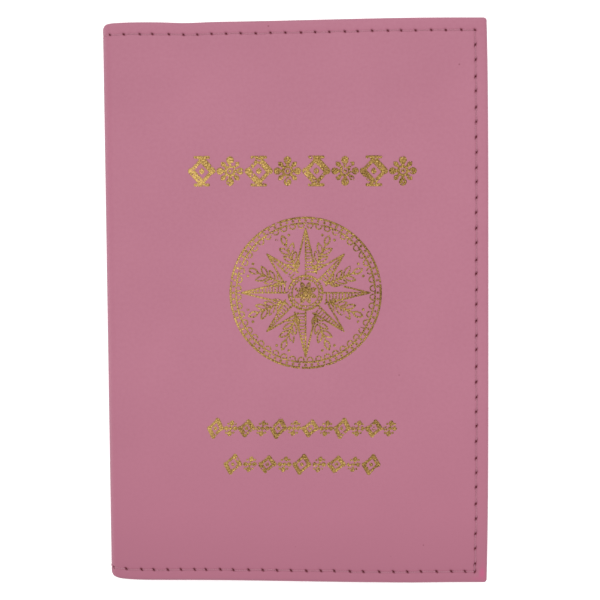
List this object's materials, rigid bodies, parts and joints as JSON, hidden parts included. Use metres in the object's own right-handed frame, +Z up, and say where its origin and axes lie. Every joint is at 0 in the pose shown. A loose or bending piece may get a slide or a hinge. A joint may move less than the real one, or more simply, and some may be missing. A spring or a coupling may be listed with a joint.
{
  "type": "passport holder",
  "caption": "Leather passport holder that opens like a book, with a soft spine, stitched covers, inner sleeves and stepped card pockets",
  "frame": {"origin": "middle of the closed holder's footprint, on the surface that its back cover lies on", "axes": "+X from the spine to the fore edge, +Y towards the top of the covers, +Z up through the thickness, from back cover to front cover"},
  "size_m": [0.096, 0.141, 0.0109],
  "materials": {
    "pink_leather": "smooth satin, fine grain",
    "pink_leather_inside": "matte, fine grain",
    "lining_fabric": "plain weave",
    "seam_thread": "waxed polyester",
    "gold_foil": "hot-stamped foil, slightly broken"
  },
  "bodies": {
    "back_cover": {"back_leather": "pink_leather", "back_lining": "lining_fabric", "back_hem_top": "pink_leather_inside", "back_hem_outer": "pink_leather_inside", "back_hem_bottom": "pink_leather_inside", "back_sleeve": "pink_leather_inside", "back_needle_thread": "seam_thread", "back_bobbin_thread": "seam_thread"},
    "spine": {"spine_leather": "pink_leather", "spine_lining": "lining_fabric", "spine_hem_top": "pink_leather_inside", "spine_hem_bottom": "pink_leather_inside", "spine_needle_thread_top": "seam_thread", "spine_needle_thread_bottom": "seam_thread", "spine_bobbin_thread_top": "seam_thread", "spine_bobbin_thread_bottom": "seam_thread"},
    "front_cover": {"front_leather": "pink_leather", "front_lining": "lining_fabric", "front_hem_top": "pink_leather_inside", "front_hem_outer": "pink_leather_inside", "front_hem_bottom": "pink_leather_inside", "front_sleeve": "pink_leather_inside", "front_needle_thread": "seam_thread", "front_bobbin_thread": "seam_thread", "card_pocket_top": "pink_leather_inside", "card_pocket_middle": "pink_leather_inside", "card_pocket_bottom": "pink_leather_inside", "card_pocket_thread": "seam_thread", "foil_title": "gold_foil", "foil_emblem": "gold_foil", "foil_caption_upper": "gold_foil", "foil_caption_lower": "gold_foil"}
  },
  "joints": [
    {"name": "spine_fold", "type": "hinge", "parent": "back_cover", "child": "spine", "pos_m": [-0.04692, 0, 0], "axis": [0.0158, -0.9999, 0], "range_deg": [0, 90]},
    {"name": "cover_fold", "type": "hinge", "parent": "spine", "child": "front_cover", "pos_m": [-0.04692, 0, 0.0108], "axis": [0.0158, -0.9999, 0], "range_deg": [0, 90]}
  ]
}
